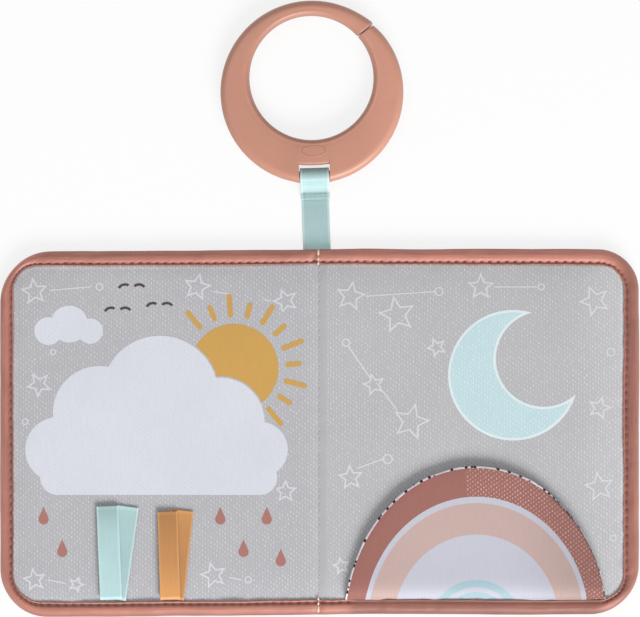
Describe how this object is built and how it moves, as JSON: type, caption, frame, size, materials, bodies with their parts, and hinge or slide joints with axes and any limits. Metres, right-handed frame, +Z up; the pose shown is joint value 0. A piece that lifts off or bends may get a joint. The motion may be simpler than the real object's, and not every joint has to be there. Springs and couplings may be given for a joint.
{
  "type": "soft cloth book with hanging ring",
  "caption": "Soft cloth book laid open flat: two padded bound panels with a fold-over spine, satin ribbon loops, a padded arch flap and a ribbon-tethered split ring for hanging.",
  "frame": {"origin": "middle of the spine, on the underside of the open book", "axes": "+X across the open book to the right, +Y up the spine towards the ring, +Z up out of the pages"},
  "size_m": [0.2732, 0.2638, 0.0083],
  "materials": {
    "page_cloth": "printed woven cotton blend, matt",
    "cover_cloth": "woven cloth, matt",
    "padding": "soft polyester batting",
    "binding": "folded tape, faint sheen",
    "binding_thread": "tone on tone thread",
    "cream_thread": "sewing thread",
    "mint_satin": "satin ribbon",
    "copper_satin": "satin ribbon",
    "flap_lining": "white cloth with small black spots",
    "flap_cloth": "printed woven cloth",
    "rose_print": "printed colour",
    "peach_print": "printed colour",
    "mint_print": "printed colour",
    "moon_print": "printed colour",
    "moon_edge_print": "printed colour",
    "white_print": "printed colour",
    "gold_print": "printed colour",
    "brown_print": "printed colour",
    "line_print": "thin printed lines",
    "ring_plastic": "smooth moulded plastic, soft gloss"
  },
  "bodies": {
    "right_panel": {"right_page_cloth": "page_cloth", "right_padding": "padding", "right_cover_cloth": "cover_cloth", "right_binding": "binding", "right_binding_stitches": "binding_thread", "right_moon_print": "moon_print", "right_moon_edge_print": "moon_edge_print", "right_line_print": "line_print", "spine_stitches": "cream_thread", "tether_ribbon": "mint_satin", "tether_stitches": "mint_satin", "flap_lining": "flap_lining", "flap_padding": "padding", "flap_face": "flap_cloth", "flap_rose_band": "rose_print", "flap_peach_band": "peach_print", "flap_mint_arch": "mint_print"},
    "left_panel": {"left_page_cloth": "page_cloth", "left_padding": "padding", "left_cover_cloth": "cover_cloth", "left_binding": "binding", "left_binding_stitches": "binding_thread", "left_cloud_print": "white_print", "left_sun_print": "gold_print", "left_drop_print": "rose_print", "left_bird_print": "brown_print", "left_line_print": "line_print", "mint_loop_front": "mint_satin", "mint_loop_back": "mint_satin", "copper_loop_front": "copper_satin", "copper_loop_back": "copper_satin"},
    "ring": {"hanging_ring": "ring_plastic"}
  },
  "joints": [
    {"name": "cover_fold", "type": "hinge", "parent": "right_panel", "child": "left_panel", "pos_m": [0, 0, 0.0076], "axis": [0, 1, 0], "range_deg": [0, 178]},
    {"name": "ring_swing", "type": "hinge", "parent": "right_panel", "child": "ring", "pos_m": [-0.00147, 0.10948, 0.0033], "axis": [0.9995, 0.0314, 0], "range_deg": [-90, 150]}
  ]
}
